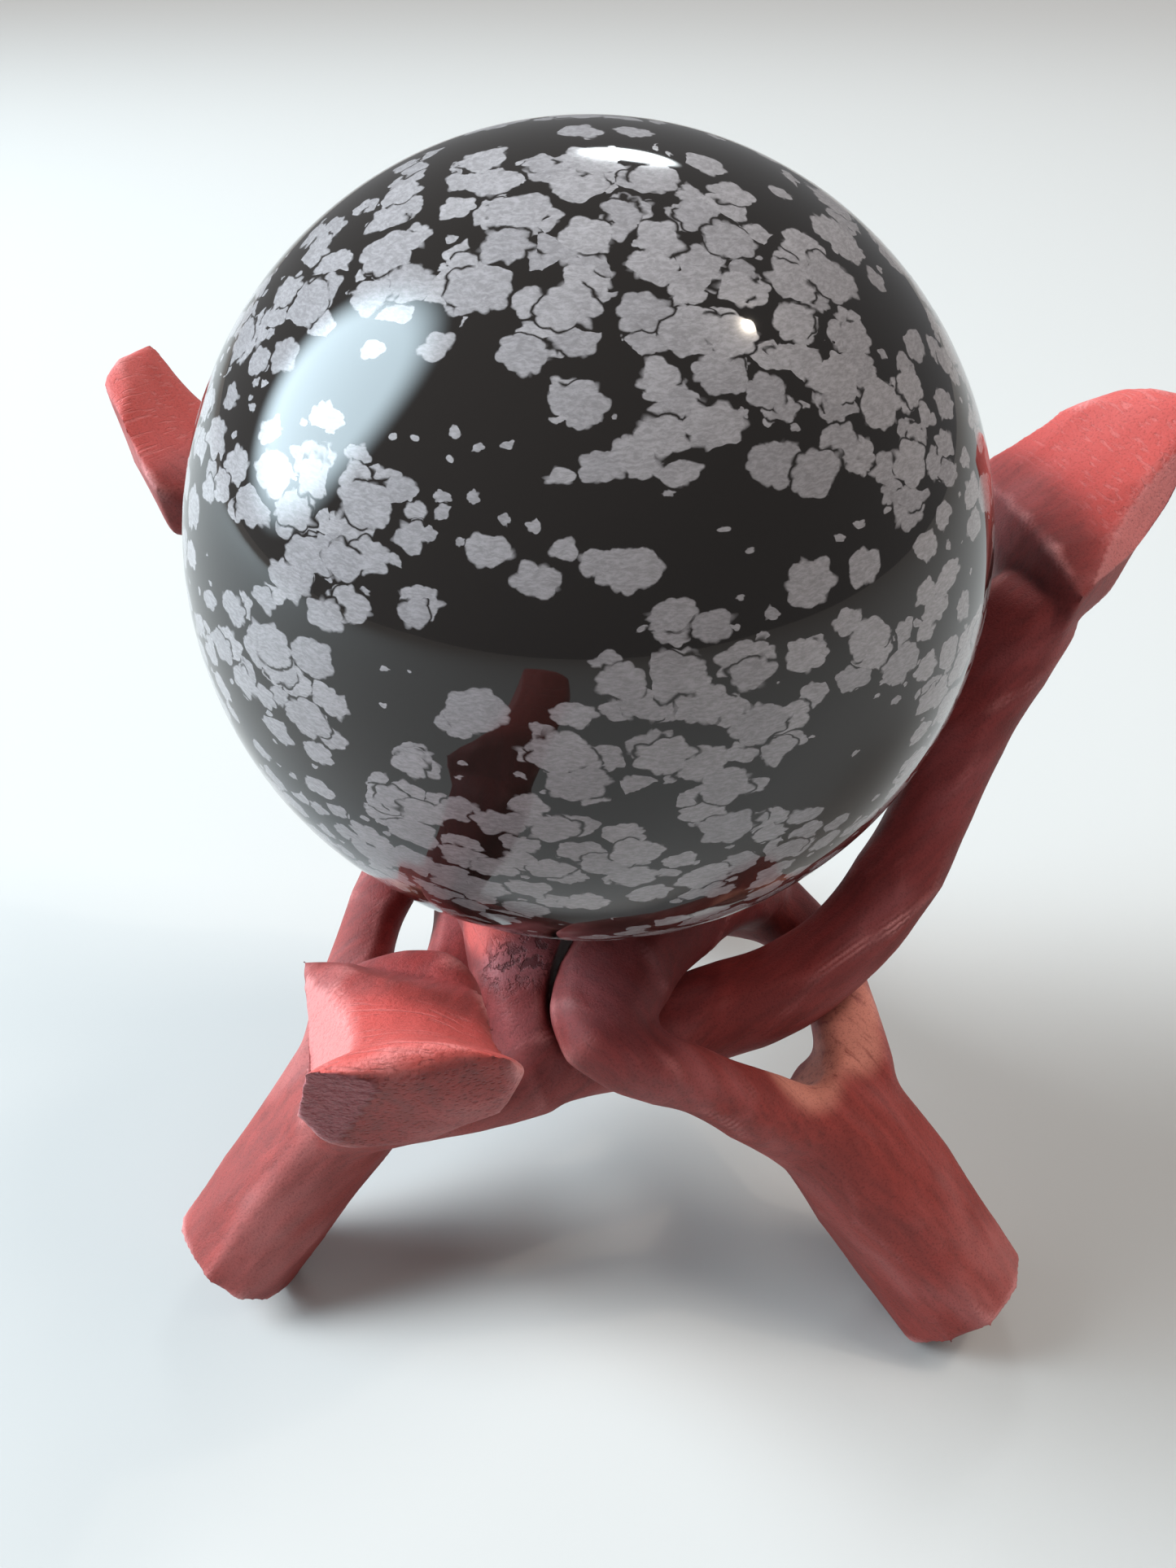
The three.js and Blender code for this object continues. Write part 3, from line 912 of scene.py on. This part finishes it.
class CARVED_OT_stage(bpy.types.Operator):
    """Makes the plain floor, the soft lights and the camera"""

    bl_idname = "obsidian.stage"
    bl_label = "Stage"

    def execute(self, context):
        settings = context.scene.stage_settings
        half = settings.floor_size / 2
        corners = [(-half, -half, 0), (half, -half, 0), (half, half, 0), (-half, half, 0)]
        mesh = bpy.data.meshes.new("floor")
        mesh.from_pydata(corners, [], [(0, 1, 2, 3)])
        floor = new_piece("floor", mesh)
        _, shader, material = new_material("plain_floor")
        shader.inputs["Base Color"].default_value = settings.floor_colour
        shader.inputs["Roughness"].default_value = FLOOR_ROUGHNESS
        mesh.materials.append(material)
        middle = Vector(SPHERE_CENTRE)
        for name, (direction, strength, spread, colour) in ROOM_LIGHTS.items():
            light = bpy.data.lights.new(name, "SUN")
            light.energy = strength * settings.room_brightness
            light.angle = math.radians(spread)
            light.color = colour
            place_light(context, light, middle + Vector(direction), False)
        for name, (direction, distance, width, height, watts, colour, mirrored) in LAMPS.items():
            lamp = bpy.data.lights.new(name, "AREA")
            lamp.shape = "ELLIPSE"
            lamp.size, lamp.size_y = width, height
            lamp.energy = watts
            lamp.color = colour
            soften_edges(lamp)
            place_light(context, lamp, middle + Vector(direction).normalized() * distance, mirrored)
        world = bpy.data.worlds.new("even_light")
        world.use_nodes = True
        sky = world.node_tree.nodes["Background"]
        sky.inputs["Color"].default_value = SKY_COLOUR
        sky.inputs["Strength"].default_value = settings.sky_strength
        context.scene.world = world
        context.scene.view_settings.view_transform = "Standard"
        lens = bpy.data.cameras.new("camera")
        lens.sensor_fit = "HORIZONTAL"
        lens.sensor_width = SENSOR_WIDTH_MM
        lens.lens = SENSOR_WIDTH_MM * CAMERA_PRINCIPAL_DISTANCE_PX / PHOTO_WIDTH_PX
        lens.clip_start = 0.005
        camera = bpy.data.objects.new("camera", lens)
        context.scene.collection.objects.link(camera)
        camera.location = CAMERA_PLACE
        camera.rotation_euler = CAMERA_TURN.to_euler()
        context.scene.camera = camera
        return {"FINISHED"}


class CARVED_PT_sidebar(bpy.types.Panel):
    """Lists the pieces, the stage and their settings"""

    bl_idname = "CARVED_PT_sidebar"
    bl_label = "Obsidian Sphere"
    bl_space_type = "VIEW_3D"
    bl_region_type = "UI"
    bl_category = "Obsidian"

    def draw(self, context):
        for name, operator in GROUPS.items():
            box = self.layout.box()
            box.operator(operator.bl_idname)
            settings = getattr(context.scene, name)
            for label in settings.__annotations__:
                box.prop(settings, label)


GROUPS = {
    "stone_settings": CARVED_OT_stone_sphere,
    "wood_settings": CARVED_OT_legs,
    "stage_settings": CARVED_OT_stage,
}
SETTINGS = {"stone_settings": StoneSettings, "wood_settings": WoodSettings, "stage_settings": StageSettings}
CLASSES = (*SETTINGS.values(), *GROUPS.values(), CARVED_PT_sidebar)


def register():
    for made in CLASSES:
        bpy.utils.register_class(made)
    for name, made in SETTINGS.items():
        setattr(bpy.types.Scene, name, bpy.props.PointerProperty(type=made))


def unregister():
    for name in SETTINGS:
        delattr(bpy.types.Scene, name)
    for made in reversed(CLASSES):
        bpy.utils.unregister_class(made)


def main():
    """Registers the classes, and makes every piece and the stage."""
    register()
    bpy.ops.obsidian.stone_sphere()
    bpy.ops.obsidian.legs()
    bpy.ops.obsidian.stage()


if __name__ == "__main__":
    main()
